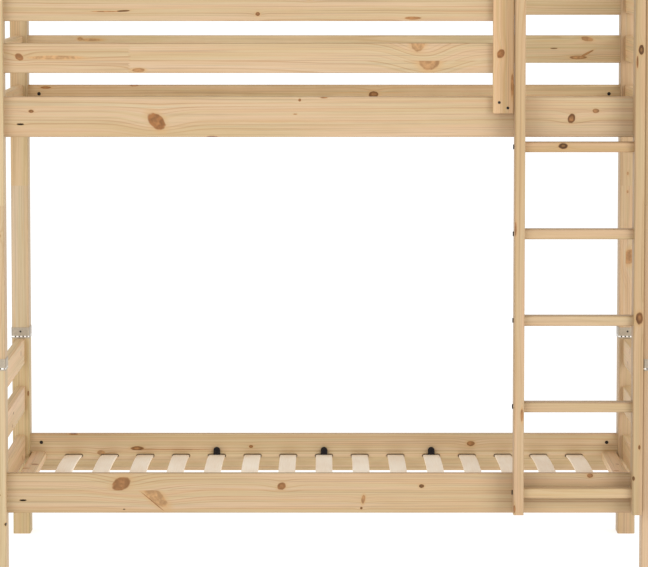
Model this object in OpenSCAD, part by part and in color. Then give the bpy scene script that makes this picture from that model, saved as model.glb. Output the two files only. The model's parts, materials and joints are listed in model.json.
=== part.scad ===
// Bunk bed with ladder: two identical single beds, one standing on four extension posts over the
// other. X runs along the bed, -Y is the ladder side, Z is up. The origin is on the floor, in the
// middle of the whole footprint.

/* [Overall] */
// Clear length between the end frames
clear_l = 2000; // [1600:10:2200]
// Width over the posts
bed_w = 1078; // [780:1:1400]
// Height of one single bed, floor to post top
bed_h = 687; // [680:1:800]
// Length of the extension posts between the beds
extension_h = 500; // [300:5:700]

/* [Posts] */
// Post size along the bed
post_x = 58; // [50:1:80]
// Post size across the bed
post_y = 98; // [96:1:120]
// Radius of the long edges of the posts
post_r = 6; // [2:0.5:10]

/* [Side rails] */
// Height of a side rail
rail_h = 126; // [105:1:155]
// Thickness of a side rail
rail_t = 28; // [24:1:34]
// Height of the rail top above the foot of its bed
rail_top = 339; // [280:1:410]
// Distance of the rail's outer face behind the post's outer face
rail_setback = 40; // [30:1:48]
// Radius of the long edges of rails and boards
board_r = 3; // [1:0.5:5]

/* [End boards and guard boards] */
// Height of an end board
end_h = 86; // [70:1:100]
// Thickness of an end board
end_t = 28; // [20:1:34]
// Rise from the rail top to the top of the middle end board and the lower guard board
board_rise_1 = 167; // [150:1:200]
// Rise from there to the top of the top end board and the upper guard board
board_rise_2 = 162; // [150:1:180]
// Height of a guard board
guard_h = 93; // [80:1:110]
// Thickness of a guard board
guard_t = 24; // [18:1:28]
// Width of the upright that ends the front guard boards
upright_w = 66; // [50:1:80]
// Thickness of that upright
upright_t = 24; // [18:1:30]
// How far the upright reaches down over the rail
upright_lap = 51; // [46:1:80]
// Free gap between the upright and the ladder
upright_gap = 1; // [1:1:40]

/* [Slats] */
// Number of slats in a bed
slat_count = 15; // [10:1:18]
// Width of a slat
slat_w = 55; // [40:1:64]
// Thickness of a slat
slat_t = 8; // [6:0.5:10]
// Rise of a slat's middle above its ends
slat_crown = 19; // [4:1:25]
// Distance from the end frame to the middle of the first slat
slat_margin = 148; // [120:1:180]
// Depth of the slat seat below the rail top
slat_drop = 82; // [70:1:95]
// Depth of the routed slat slots
slot_depth = 12; // [8:0.5:14]
// Slot width beyond the slat width
slot_spare_w = 7; // [2:0.5:10]
// Slot height beyond the slat thickness
slot_spare_h = 5; // [1:0.5:8]

/* [Cross bars] */
// Width of the cross bar at each end of a bed
bar_w = 48; // [30:1:60]
// Height of a cross bar
bar_h = 28; // [20:1:36]
// Depth of a cross bar's top below the rail top
bar_drop = 62; // [50:1:75]
// Gap between a cross bar and the post
bar_gap = 5; // [1:1:10]

/* [Ladder] */
// Width over the ladder stiles
ladder_w = 404; // [330:1:490]
// Thickness of a stile
stile_x = 32; // [26:1:36]
// Depth of a stile
stile_y = 85; // [70:1:105]
// Radius of the stile's long edges
stile_r = 5; // [2:0.5:9]
// Height of the stile's lower end above the floor
stile_foot = 218; // [180:1:250]
// Number of rungs
rung_count = 5; // [5:1:5]
// Height of the first rung's middle above the floor
rung_first = 283; // [250:1:300]
// Pitch of the rungs
rung_pitch = 272; // [230:1:280]
// Height of a rung
rung_h = 31; // [26:1:38]
// Depth of a rung
rung_y = 58; // [40:1:64]
// Radius of the rung's long edges
rung_r = 4; // [2:0.5:10]

/* [Fittings] */
// Sheet thickness of the post collars
collar_t = 1.5; // [1:0.1:2]
// Height of a post collar
collar_h = 37; // [28:1:50]
// Gap between a collar and its post
collar_gap = 0.3; // [0.2:0.05:0.5]
// Diameter of the frame bolts
bolt_d = 8; // [6:0.5:8]
// Diameter of the frame bolts' heads
bolt_head_d = 14; // [12:0.5:15]
// Height of the frame bolts' heads
bolt_head_t = 8; // [5:0.5:9]
// Depth of the frame bolts below the rail top
bolt_drop = 30; // [26:1:34]
// Diameter of the barrel nuts
barrel_d = 12; // [11:0.5:14]
// Distance of the barrel nuts from the rail's end
barrel_in = 37; // [30:1:45]
// Diameter of the wooden dowels
dowel_d = 8; // [6:0.5:10]
// Length of the wooden dowels
dowel_l = 50; // [40:1:56]
// Diameter of the steel pins between the two beds
pin_d = 10; // [8:0.5:12]
// Length of those pins
pin_l = 60; // [40:1:80]
// Radial clearance of every bolt, pin and dowel in its hole
fit_gap = 0.1; // [0.05:0.01:0.1]
// Width of a slat clip
clip_w = 22.5; // [18:0.5:26]
// Height of a slat clip
clip_h = 26; // [24:0.5:32]
// Thickness of a slat clip
clip_t = 9; // [6:0.5:12]

/* [Hidden] */

$fn = 48;
left = -1;
right = 1;
front = -1;
rear = 1;
corners = [[left, front], [right, front], [left, rear], [right, rear]];

pine = [0.87, 0.74, 0.56];
pine_shade = [0.82, 0.68, 0.49];
birch = [0.92, 0.86, 0.76];
beech = [0.78, 0.62, 0.44];
steel = [0.68, 0.66, 0.62];
dark_steel = [0.18, 0.16, 0.15];
black_plastic = [0.08, 0.08, 0.09];

// Heights of the two beds' feet and of the two butt joints in each leg.
lower_z = 0;
upper_z = bed_h + extension_h;
beds = [lower_z, upper_z];

// The rails and the stiles meet on one plane; the stiles stand proud of the posts, and the
// collars stand out behind, so the beds' own middle lies a little behind the origin.
ladder_proud = stile_y - rail_setback;
collar_out = collar_gap + collar_t;
mid_y = (ladder_proud - collar_out) / 2;

// Faces of the posts and the rails.
post_in = clear_l / 2;
post_mid = post_in + post_x / 2;
function post_y_at(row) = mid_y + row * (bed_w / 2 - post_y / 2);
function rail_y_at(row) = mid_y + row * (bed_w / 2 - rail_setback - rail_t / 2);
function guard_y_at(row) = mid_y + row * (bed_w / 2 - rail_setback - guard_t / 2);
rail_face_y = mid_y - bed_w / 2 + rail_setback;
rail_inner_w = bed_w - 2 * (rail_setback + rail_t);

// Tops of the three levels of boards above the foot of their bed.
board_tops = [rail_top, rail_top + board_rise_1, rail_top + board_rise_1 + board_rise_2];

// Slats
slat_pitch = (clear_l - 2 * slat_margin) / (slat_count - 1);
slot_w = slat_w + slot_spare_w;
slot_h = slat_t + slot_spare_h;
slot_r = slot_h / 2;
slot_corner = max(0, slat_w / 2 - (slot_w / 2 - slot_r));
slat_play = slot_r - sqrt(pow(slot_r, 2) - pow(min(slot_corner, slot_r), 2)) + 0.1;
slat_seat = rail_top - slat_drop;
slat_end_gap = 2;
slat_l = rail_inner_w + 2 * (slot_depth - slat_end_gap);
arch_steps = 24;
clip_every = 3;
clip_peg_d = 7;
clip_peg_l = 13;
clip_recess_d = 9;
clip_recess_t = 2.5;
clip_lift = 2;

// Cross bars and their dowels
bar_mid = post_in - bar_gap - bar_w / 2;
bar_dowel_in = 12;
bar_dowel_spread = bar_w - 20;

// Frame bolts, nuts and dowels
bolt_sunk = 0.5;
bolt_end = 10;
socket_d = 6;
socket_t = 4;
counterbore_gap = 1;
barrel_sunk = 2;
barrel_l = rail_t - 8;
rail_dowel_drop = rail_h - 34;
end_dowel_spread = end_h - 42;
guard_dowel_spread = guard_h - 45;

// Pins and dowels in the legs
pin_spread = post_y - 54;
seam_dowel_spread = post_y - 54;

// Ladder
ladder_gap = collar_out + 0.3;
ladder_right = post_in - ladder_gap;
stile_mid = [ladder_right - ladder_w + stile_x / 2, ladder_right - stile_x / 2];
stile_top = upper_z + board_tops[2];
stile_mid_y = rail_face_y - stile_y / 2;
stile_relief = 0.4;
relief_top = bed_h - 100;
rung_back = 2;
rung_mid_y = rail_face_y - rung_back - rung_y / 2;
rung_l = ladder_w - 2 * stile_x;
rung_bolt_d = 6;
rung_bolt_l = 60;
rung_head_d = 15;
rung_head_t = 4;
rung_head_sunk = [0.5, rung_head_t + 0.1];

// Upright at the open end of the front guard boards
upright_right = ladder_right - ladder_w - upright_gap;
upright_mid = upright_right - upright_w / 2;
upright_foot = upper_z + rail_top - upright_lap;
upright_screw_at = [[-13, 17], [14, 34]];
guard_front_mid = (upright_right - post_in) / 2;
guard_front_l = upright_right + post_in;

// Screws
screw_d = 5;
screw_head_d = 9;
screw_head_t = 3;
upright_screw_l = 44;
ladder_screw_d = 6;
ladder_screw_l = rail_t + 40;
ladder_screw_drops = [bolt_drop + 14, rail_dowel_drop + 12];
ladder_head_d = 11;
ladder_head_t = 4;
collar_screw_d = 4;
collar_screw_head_d = 6.5;
collar_screw_head_t = 1.6;
collar_screw_l = 18;
collar_screw_up = 5;

// Narrow routed slot in the outer face of each front rail, near its left end.
mark_w = 21;
mark_h = 5;
mark_t = 12;
mark_in = 50;
mark_drop = 86;

module rounded_rect(w, d, r) {
    square([w - 2 * r, d], center = true);
    square([w, d - 2 * r], center = true);
    for (x = [-1, 1], y = [-1, 1])
        translate([x * (w / 2 - r), y * (d / 2 - r)])
            circle(r);
}

module stadium(w, d) {
    square([w - d, d], center = true);
    for (x = [-1, 1])
        translate([x * (w - d) / 2, 0])
            circle(d / 2);
}

// Outline of a post, grown all round.
module post_outline(grow) {
    rounded_rect(post_x + 2 * grow, post_y + 2 * grow, post_r + grow);
}

// Board along X: l long, t thick in Y, h high in Z.
module board_x(l, t, h, r) {
    rotate([90, 0, 90])
        linear_extrude(l, center = true)
            rounded_rect(t, h, r);
}

// Board along Y: l long, t thick in X, h high in Z.
module board_y(l, t, h, r) {
    rotate([90, 0, 0])
        linear_extrude(l, center = true)
            rounded_rect(t, h, r);
}

module rod_x(d, l) {
    rotate([0, 90, 0])
        cylinder(d = d, h = l, center = true);
}

module rod_y(d, l) {
    rotate([90, 0, 0])
        cylinder(d = d, h = l, center = true);
}

module rod_z(d, l) {
    cylinder(d = d, h = l, center = true);
}

// Axes of the holes; grow is added to the diameter.
module at_pair_y(spread) {
    for (s = [-1, 1])
        translate([0, s * spread / 2, 0])
            children();
}

module at_pair_z(spread) {
    for (s = [-1, 1])
        translate([0, 0, s * spread / 2])
            children();
}

// Dowels of the three end boards in one corner, along Y, half in the board and half in the post.
module end_board_dowels(side, row, z0, grow) {
    for (top = board_tops)
        translate([side * post_mid, post_y_at(row) - row * post_y / 2, z0 + top - end_h / 2])
            at_pair_z(end_dowel_spread)
                rod_y(dowel_d + grow, dowel_l);
}

// Dowel under the bolt in one end of a side rail, along X.
module rail_dowel(side, row, z0, grow) {
    translate([side * post_in, rail_y_at(row), z0 + rail_top - rail_dowel_drop])
        rod_x(dowel_d + grow, dowel_l);
}

// Dowels of the guard boards in one post of the upper bed.
module guard_dowels(side, row, grow) {
    for (i = [1, 2])
        translate([side * post_in, guard_y_at(row), upper_z + board_tops[i] - guard_h / 2])
            at_pair_z(guard_dowel_spread)
                rod_x(dowel_d + grow, dowel_l);
}

// Dowels that hold one end of a cross bar to a rail.
module bar_dowels(side, row, z0, grow) {
    translate([side * bar_mid, rail_y_at(row) - row * (rail_t / 2), z0 + rail_top - bar_drop - bar_h / 2])
        for (s = [-1, 1])
            translate([s * bar_dowel_spread / 2, 0, 0])
                rod_y(dowel_d + grow, 2 * bar_dowel_in);
}

// Frame bolt of one rail end: the hole through the post, or the bolt.
module rail_bolt_hole(side, row, z0) {
    translate([0, rail_y_at(row), z0 + rail_top - bolt_drop]) {
        translate([side * (post_in + post_x / 2), 0, 0])
            rod_x(bolt_d + 2 * fit_gap, post_x + 2);
        translate([side * (post_in + post_x), 0, 0])
            rod_x(bolt_head_d + 2 * counterbore_gap, 2 * (bolt_head_t + bolt_sunk));
        translate([side * (post_in - barrel_in / 2 - bolt_end / 2), 0, 0])
            rod_x(bolt_d + 2 * fit_gap, barrel_in + bolt_end);
    }
}

module rail_bolt(side, row, z0) {
    head_out = post_in + post_x - bolt_sunk;
    tip = post_in - barrel_in - bolt_end + 1;
    translate([0, rail_y_at(row), z0 + rail_top - bolt_drop])
        difference() {
            union() {
                translate([side * (head_out - bolt_head_t / 2), 0, 0])
                    rod_x(bolt_head_d, bolt_head_t);
                translate([side * (head_out - 1 + tip) / 2, 0, 0])
                    rod_x(bolt_d, head_out - 1 - tip);
            }
            translate([side * head_out, 0, 0])
                rotate([0, 90, 0])
                    cylinder(d = socket_d, h = 2 * socket_t, center = true, $fn = 6);
        }
}

// Cross hole for a barrel nut, from the inner face of the rail.
module barrel_hole(side, row, z0) {
    translate([side * (post_in - barrel_in), rail_y_at(row) - row * rail_t / 2, z0 + rail_top - bolt_drop])
        rod_y(barrel_d + 2 * fit_gap, 2 * (barrel_l + barrel_sunk));
}

module barrel_nut(side, row, z0) {
    inner_y = rail_y_at(row) - row * rail_t / 2;
    translate([side * (post_in - barrel_in), 0, z0 + rail_top - bolt_drop])
        difference() {
            translate([0, inner_y + row * (barrel_sunk + barrel_l / 2), 0])
                rod_y(barrel_d, barrel_l);
            translate([0, rail_y_at(row), 0])
                rod_x(bolt_d + 2 * fit_gap, barrel_d + 2);
            translate([0, inner_y + row * barrel_sunk, 0])
                cube([barrel_d + 2, 2, 1.6], center = true);
        }
}

// Pins and dowels up the middle of a leg at the two butt joints.
module leg_pins(side, row, z, spread, d, l) {
    translate([side * post_mid, post_y_at(row), z])
        at_pair_y(spread)
            rod_z(d, l);
}

module bed_post(side, row, z0) {
    color(pine)
        difference() {
            translate([side * post_mid, post_y_at(row), z0])
                linear_extrude(bed_h)
                    post_outline(0);
            rail_bolt_hole(side, row, z0);
            rail_dowel(side, row, z0, 2 * fit_gap);
            end_board_dowels(side, row, z0, 2 * fit_gap);
            if (z0 == lower_z)
                leg_pins(side, row, bed_h, pin_spread, pin_d + 2 * fit_gap, pin_l + 1);
            if (z0 == upper_z)
                leg_pins(side, row, upper_z, seam_dowel_spread, dowel_d + 2 * fit_gap, dowel_l + 1);
            if (z0 == upper_z && (row == rear || side == left))
                guard_dowels(side, row, 2 * fit_gap);
        }
}

module extension_post(side, row) {
    color(pine_shade)
        difference() {
            translate([side * post_mid, post_y_at(row), bed_h])
                linear_extrude(extension_h)
                    post_outline(0);
            leg_pins(side, row, bed_h, pin_spread, pin_d + 2 * fit_gap, pin_l + 1);
            leg_pins(side, row, upper_z, seam_dowel_spread, dowel_d + 2 * fit_gap, dowel_l + 1);
            collar_screw_holes(side, row);
        }
}

module end_board(side, z0, level) {
    color(pine_shade)
        difference() {
            translate([side * post_mid, mid_y, z0 + board_tops[level] - end_h / 2])
                board_y(bed_w - 2 * post_y, end_t, end_h, board_r);
            end_board_dowels(side, front, z0, 2 * fit_gap);
            end_board_dowels(side, rear, z0, 2 * fit_gap);
        }
}

module cross_bar(side, z0) {
    color(pine)
        difference() {
            translate([side * bar_mid, mid_y, z0 + rail_top - bar_drop - bar_h / 2])
                board_y(rail_inner_w, bar_w, bar_h, board_r);
            bar_dowels(side, front, z0, 2 * fit_gap);
            bar_dowels(side, rear, z0, 2 * fit_gap);
        }
}

function slat_x(i) = (i - (slat_count - 1) / 2) * slat_pitch;

// Slats that carry a clip: every third one, counted out from the middle, but not the last ones.
function has_clip(i) = abs(i - (slat_count - 1) / 2) % clip_every == 0
    && abs(i - (slat_count - 1) / 2) < 2 * clip_every;

module slat_slots(row, z0) {
    for (i = [0 : slat_count - 1])
        translate([slat_x(i), rail_y_at(row) - row * rail_t / 2, z0 + slat_seat + slot_h / 2])
            rotate([90, 0, 0])
                linear_extrude(2 * slot_depth, center = true)
                    stadium(slot_w, slot_h);
}

// Side outline of a slat: a flat arch whose ends lie on the slot floors.
function slat_rise(y) = slat_crown * (1 - pow(2 * y / slat_l, 2));
function slat_edge(lift) = [for (i = [0 : arch_steps])
    let (y = (i / arch_steps - 0.5) * slat_l) [y, slat_rise(y) + lift]];
function reversed(points) = [for (i = [len(points) - 1 : -1 : 0]) points[i]];

module slat(x, z0) {
    translate([x, mid_y, z0 + slat_seat + slat_play])
        rotate([90, 0, 90])
            linear_extrude(slat_w, center = true)
                polygon(concat(slat_edge(0), reversed(slat_edge(slat_t))));
}

module slats(z0) {
    color(birch)
        for (i = [0 : slat_count - 1])
            slat(slat_x(i), z0);
}

// The clip stands on the inner face of the rail, over the slat; its peg goes into the rail.
clip_foot = slat_seat + slat_play + slat_t + clip_lift;
clip_peg_z = clip_foot + clip_h - clip_w / 2;

module clip_pegs(row, z0, d) {
    for (i = [0 : slat_count - 1])
        if (has_clip(i))
            translate([slat_x(i), rail_y_at(row) - row * rail_t / 2 + row * clip_peg_l / 2, z0 + clip_peg_z])
                rod_y(d, clip_peg_l + 1);
}

module clip(x, row, z0) {
    inner_y = rail_y_at(row) - row * rail_t / 2;
    difference() {
        union() {
            translate([x, inner_y - row * clip_t / 2, z0])
                rotate([90, 0, 0])
                    linear_extrude(clip_t, center = true) {
                        translate([0, clip_peg_z])
                            circle(clip_w / 2);
                        translate([-clip_w / 2, clip_foot])
                            square([clip_w, clip_peg_z - clip_foot]);
                    }
            translate([x, inner_y + row * (clip_peg_l - 2) / 2, z0 + clip_peg_z])
                rod_y(clip_peg_d, clip_peg_l);
        }
        translate([x, inner_y - row * clip_t, z0 + clip_peg_z])
            rod_y(clip_recess_d, 2 * clip_recess_t);
    }
}

module slat_clips(z0) {
    color(black_plastic)
        for (i = [0 : slat_count - 1], row = [front, rear])
            if (has_clip(i))
                clip(slat_x(i), row, z0);
}

module rail(row, z0) {
    color(pine)
        difference() {
            translate([0, rail_y_at(row), z0 + rail_top - rail_h / 2])
                board_x(clear_l, rail_t, rail_h, board_r);
            for (side = [left, right]) {
                rail_bolt_hole(side, row, z0);
                barrel_hole(side, row, z0);
                rail_dowel(side, row, z0, 2 * fit_gap);
                bar_dowels(side, row, z0, 2 * fit_gap);
            }
            slat_slots(row, z0);
            clip_pegs(row, z0, clip_peg_d + 2 * fit_gap);
            if (row == front)
                mark_slot(z0);
            if (row == front && z0 == upper_z) {
                ladder_screws(2 * fit_gap);
                upright_screws(2 * fit_gap);
            }
        }
}

// Slot through the outer face of a front rail, cut mark_t deep.
module mark_slot(z0) {
    translate([-post_in + mark_in, rail_face_y, z0 + rail_top - mark_drop])
        rotate([90, 0, 0])
            linear_extrude(2 * mark_t, center = true)
                stadium(mark_w, mark_h);
}

module rail_bolts(z0) {
    color(steel)
        for (c = corners)
            rail_bolt(c[0], c[1], z0);
}

module barrel_nuts(z0) {
    color(dark_steel)
        for (c = corners)
            barrel_nut(c[0], c[1], z0);
}

module frame_dowels(z0) {
    color(beech)
        for (c = corners) {
            end_board_dowels(c[0], c[1], z0, 0);
            rail_dowel(c[0], c[1], z0, 0);
            bar_dowels(c[0], c[1], z0, 0);
            if (z0 == upper_z && (c[1] == rear || c[0] == left))
                guard_dowels(c[0], c[1], 0);
        }
}

module joint_pins() {
    color(steel)
        for (c = corners)
            leg_pins(c[0], c[1], bed_h, pin_spread, pin_d, pin_l);
}

module seam_dowels() {
    color(beech)
        for (c = corners)
            leg_pins(c[0], c[1], upper_z, seam_dowel_spread, dowel_d, dowel_l);
}

module post_collars() {
    color(steel)
        for (c = corners)
            difference() {
                translate([c[0] * post_mid, post_y_at(c[1]), bed_h - collar_h / 2])
                    linear_extrude(collar_h)
                        difference() {
                            post_outline(collar_out);
                            post_outline(collar_gap);
                        }
                collar_screw_holes(c[0], c[1]);
            }
}

// The collar's screw sits in the face towards the ladder side.
module collar_screw_holes(side, row) {
    translate([side * post_mid, post_y_at(row) - post_y / 2, bed_h + collar_screw_up])
        rod_y(collar_screw_d + 2 * fit_gap, 2 * (collar_screw_l + 1));
}

module collar_screws() {
    color(dark_steel)
        for (c = corners)
            translate([c[0] * post_mid, post_y_at(c[1]) - post_y / 2 - collar_out, bed_h + collar_screw_up]) {
                translate([0, collar_screw_l / 2, 0])
                    rod_y(collar_screw_d, collar_screw_l);
                translate([0, -collar_screw_head_t / 2, 0])
                    rod_y(collar_screw_head_d, collar_screw_head_t);
            }
}

module guard_board_front(level) {
    color(pine)
        difference() {
            translate([guard_front_mid, guard_y_at(front), upper_z + board_tops[level] - guard_h / 2])
                board_x(guard_front_l, guard_t, guard_h, board_r);
            guard_dowels(left, front, 2 * fit_gap);
            upright_back_screws(2 * fit_gap);
        }
}

module guard_board_rear(level) {
    color(pine_shade)
        difference() {
            translate([0, guard_y_at(rear), upper_z + board_tops[level] - guard_h / 2])
                board_x(clear_l, guard_t, guard_h, board_r);
            guard_dowels(left, rear, 2 * fit_gap);
            guard_dowels(right, rear, 2 * fit_gap);
        }
}

module guard_upright() {
    color(pine)
        difference() {
            translate([upright_mid, rail_face_y - upright_t / 2, upright_foot])
                linear_extrude(stile_top - upright_foot)
                    rounded_rect(upright_w, upright_t, board_r);
            upright_screws(2 * fit_gap);
            upright_back_screws(2 * fit_gap);
        }
}

// Screws through the front of the upright into the rail.
module upright_screws(grow) {
    for (p = upright_screw_at)
        translate([upright_mid + p[0], rail_face_y - upright_t, upper_z + rail_top - p[1]]) {
            translate([0, upright_screw_l / 2, 0])
                rod_y(screw_d + grow, upright_screw_l);
            translate([0, screw_head_t / 2, 0])
                rod_y(screw_head_d + grow, screw_head_t);
        }
}

// Screws from behind each front guard board into the upright.
module upright_back_screws(grow) {
    for (i = [1, 2], s = [-1, 1])
        translate([upright_mid + s * upright_w / 4, rail_face_y + guard_t,
                   upper_z + board_tops[i] - guard_h / 2 - s * guard_h / 6]) {
            translate([0, -(guard_t + upright_t - 6) / 2, 0])
                rod_y(screw_d + grow, guard_t + upright_t - 6);
            translate([0, -screw_head_t / 2, 0])
                rod_y(screw_head_d + grow, screw_head_t);
        }
}

// Screws from behind the upper rail into the stiles.
module ladder_screws(grow) {
    for (x = stile_mid, drop = ladder_screw_drops)
        translate([x, rail_face_y + rail_t, upper_z + rail_top - drop]) {
            translate([0, -ladder_screw_l / 2, 0])
                rod_y(ladder_screw_d + grow, ladder_screw_l);
            translate([0, -ladder_head_t / 2, 0])
                rod_y(ladder_head_d + grow, ladder_head_t);
        }
}

module frame_screws() {
    color(dark_steel) {
        upright_screws(0);
        upright_back_screws(0);
        ladder_screws(0);
    }
}

function rung_z(i) = rung_first + i * rung_pitch;

// Bolt of one end of a rung; out is the outward direction of its stile.
module rung_bolt(i, end, grow) {
    out = [-1, 1][end];
    face_x = stile_mid[end] + out * (stile_x / 2 - rung_head_sunk[end]);
    translate([face_x, rung_mid_y, rung_z(i)]) {
        translate([-out * rung_bolt_l / 2, 0, 0])
            rod_x(rung_bolt_d + grow, rung_bolt_l);
        translate([out * rung_head_t / 2, 0, 0])
            rod_x(rung_head_d + grow, rung_head_t);
    }
}

module ladder_stile(end) {
    color(pine)
        difference() {
            translate([stile_mid[end], stile_mid_y, stile_foot])
                linear_extrude(stile_top - stile_foot)
                    rounded_rect(stile_x, stile_y, stile_r);
            for (i = [0 : rung_count - 1])
                rung_bolt(i, end, 2 * fit_gap);
            ladder_screws(2 * fit_gap);
            translate([stile_mid[end], rail_face_y, stile_foot + (relief_top - stile_foot) / 2])
                cube([stile_x + 2, 2 * stile_relief, relief_top - stile_foot + 2], center = true);
        }
}

module ladder_rung(i) {
    color(pine)
        difference() {
            translate([(stile_mid[0] + stile_mid[1]) / 2, rung_mid_y, rung_z(i)])
                board_x(rung_l, rung_y, rung_h, rung_r);
            rung_bolt(i, 0, 2 * fit_gap);
            rung_bolt(i, 1, 2 * fit_gap);
        }
}

module rung_bolts() {
    color(dark_steel)
        for (i = [0 : rung_count - 1], end = [0, 1])
            rung_bolt(i, end, 0);
}

bed_post(left, front, lower_z);  // lower_post_front_left
bed_post(right, front, lower_z);  // lower_post_front_right
bed_post(left, rear, lower_z);  // lower_post_rear_left
bed_post(right, rear, lower_z);  // lower_post_rear_right
rail(front, lower_z);  // lower_rail_front
rail(rear, lower_z);  // lower_rail_rear
end_board(left, lower_z, 0);  // lower_end_board_left_bottom
end_board(left, lower_z, 1);  // lower_end_board_left_middle
end_board(left, lower_z, 2);  // lower_end_board_left_top
end_board(right, lower_z, 0);  // lower_end_board_right_bottom
end_board(right, lower_z, 1);  // lower_end_board_right_middle
end_board(right, lower_z, 2);  // lower_end_board_right_top
cross_bar(left, lower_z);  // lower_cross_bar_left
cross_bar(right, lower_z);  // lower_cross_bar_right
slats(lower_z);  // lower_slats
slat_clips(lower_z);  // lower_slat_clips
rail_bolts(lower_z);  // lower_rail_bolts
barrel_nuts(lower_z);  // lower_barrel_nuts
frame_dowels(lower_z);  // lower_frame_dowels
joint_pins();
extension_post(left, front);  // extension_post_front_left
extension_post(right, front);  // extension_post_front_right
extension_post(left, rear);  // extension_post_rear_left
extension_post(right, rear);  // extension_post_rear_right
bed_post(left, front, upper_z);  // upper_post_front_left
bed_post(right, front, upper_z);  // upper_post_front_right
bed_post(left, rear, upper_z);  // upper_post_rear_left
bed_post(right, rear, upper_z);  // upper_post_rear_right
rail(front, upper_z);  // upper_rail_front
rail(rear, upper_z);  // upper_rail_rear
end_board(left, upper_z, 0);  // upper_end_board_left_bottom
end_board(left, upper_z, 1);  // upper_end_board_left_middle
end_board(left, upper_z, 2);  // upper_end_board_left_top
end_board(right, upper_z, 0);  // upper_end_board_right_bottom
end_board(right, upper_z, 1);  // upper_end_board_right_middle
end_board(right, upper_z, 2);  // upper_end_board_right_top
cross_bar(left, upper_z);  // upper_cross_bar_left
cross_bar(right, upper_z);  // upper_cross_bar_right
slats(upper_z);  // upper_slats
slat_clips(upper_z);  // upper_slat_clips
rail_bolts(upper_z);  // upper_rail_bolts
barrel_nuts(upper_z);  // upper_barrel_nuts
frame_dowels(upper_z);  // upper_frame_dowels
seam_dowels();
post_collars();
collar_screws();
guard_board_front(1);  // guard_board_front_lower
guard_board_front(2);  // guard_board_front_upper
guard_board_rear(1);  // guard_board_rear_lower
guard_board_rear(2);  // guard_board_rear_upper
guard_upright();
ladder_stile(0);  // ladder_stile_left
ladder_stile(1);  // ladder_stile_right
ladder_rung(0);  // ladder_rung_1
ladder_rung(1);  // ladder_rung_2
ladder_rung(2);  // ladder_rung_3
ladder_rung(3);  // ladder_rung_4
ladder_rung(4);  // ladder_rung_5
rung_bolts();
frame_screws();
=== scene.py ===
import json
import math
import random

import bmesh
import bpy
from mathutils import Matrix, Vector


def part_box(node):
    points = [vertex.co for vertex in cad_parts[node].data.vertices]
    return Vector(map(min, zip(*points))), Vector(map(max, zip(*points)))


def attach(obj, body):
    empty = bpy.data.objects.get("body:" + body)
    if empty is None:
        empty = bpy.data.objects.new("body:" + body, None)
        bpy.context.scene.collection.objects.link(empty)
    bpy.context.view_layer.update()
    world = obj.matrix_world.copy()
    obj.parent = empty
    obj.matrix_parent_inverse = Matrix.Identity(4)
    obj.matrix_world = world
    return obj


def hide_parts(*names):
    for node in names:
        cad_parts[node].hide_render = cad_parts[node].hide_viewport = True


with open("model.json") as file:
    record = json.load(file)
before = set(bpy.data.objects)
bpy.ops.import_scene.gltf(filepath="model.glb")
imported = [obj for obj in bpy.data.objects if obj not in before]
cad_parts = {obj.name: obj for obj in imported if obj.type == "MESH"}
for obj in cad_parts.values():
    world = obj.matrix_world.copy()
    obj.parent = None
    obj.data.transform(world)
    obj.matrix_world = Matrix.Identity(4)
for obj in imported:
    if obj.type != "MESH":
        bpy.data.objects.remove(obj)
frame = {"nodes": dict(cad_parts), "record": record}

NODES = frame["nodes"]
BODIES = frame["record"]["behaviour"]["bodies"]
SLOTS = {part["node"]: part["material_slot"] for part in frame["record"]["subparts"]}
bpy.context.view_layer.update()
SCENE = bpy.context.scene
MM = 0.001
WHITE = (1.0, 1.0, 1.0, 1.0)


# ---------------------------------------------------------------- stage, light and camera

CAMERA_DISTANCE = 11.949   # from the front posts' faces
CAMERA_HEIGHT = 2.021
CAMERA_PITCH = 5.224       # degrees down
FOCAL_LENGTH = 212.99      # on a 36 mm wide sensor
CAMERA_SHIFT = 0.00738


def make_camera():
    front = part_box("lower_post_front_left")[0].y
    data = bpy.data.cameras.new("camera")
    data.sensor_width = 36.0
    data.lens = FOCAL_LENGTH
    data.shift_y = CAMERA_SHIFT
    data.clip_end = 400.0
    camera = bpy.data.objects.new("camera", data)
    camera.location = (0.0, front - CAMERA_DISTANCE, CAMERA_HEIGHT)
    camera.rotation_euler = (math.radians(90.0 - CAMERA_PITCH), 0.0, 0.0)
    SCENE.collection.objects.link(camera)
    SCENE.camera = camera


def make_floor():
    mesh = bpy.data.meshes.new("floor")
    shape = bmesh.new()
    bmesh.ops.create_circle(shape, cap_ends=True, segments=96, radius=180.0)
    shape.to_mesh(mesh)
    shape.free()
    floor = bpy.data.objects.new("floor", mesh)
    SCENE.collection.objects.link(floor)
    mesh.materials.append(floor_paint())


def area_light(name, place, aim, size, power, colour=(1.0, 1.0, 1.0)):
    data = bpy.data.lights.new(name, "AREA")
    data.shape = "RECTANGLE"
    data.size, data.size_y = size
    data.energy = power
    data.color = colour
    light = bpy.data.objects.new(name, data)
    light.location = place
    light.rotation_euler = (Vector(aim) - Vector(place)).to_track_quat("-Z", "Y").to_euler()
    SCENE.collection.objects.link(light)


def make_light():
    world = bpy.data.worlds.new("studio")
    world.use_nodes = True
    sky = world.node_tree.nodes["Background"]
    sky.inputs["Color"].default_value = WHITE
    sky.inputs["Strength"].default_value = 0.8
    SCENE.world = world
    area_light("key", (5.5, -6.5, 2.6), (0.0, -0.5, 0.9), (4.0, 3.0), 255.0)
    area_light("fill", (-4.5, -7.0, 3.2), (0.0, -0.5, 0.9), (4.0, 3.0), 150.0)
    SCENE.view_settings.view_transform = "Standard"
    SCENE.view_settings.look = "None"


# ---------------------------------------------------------------- node graphs

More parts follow.
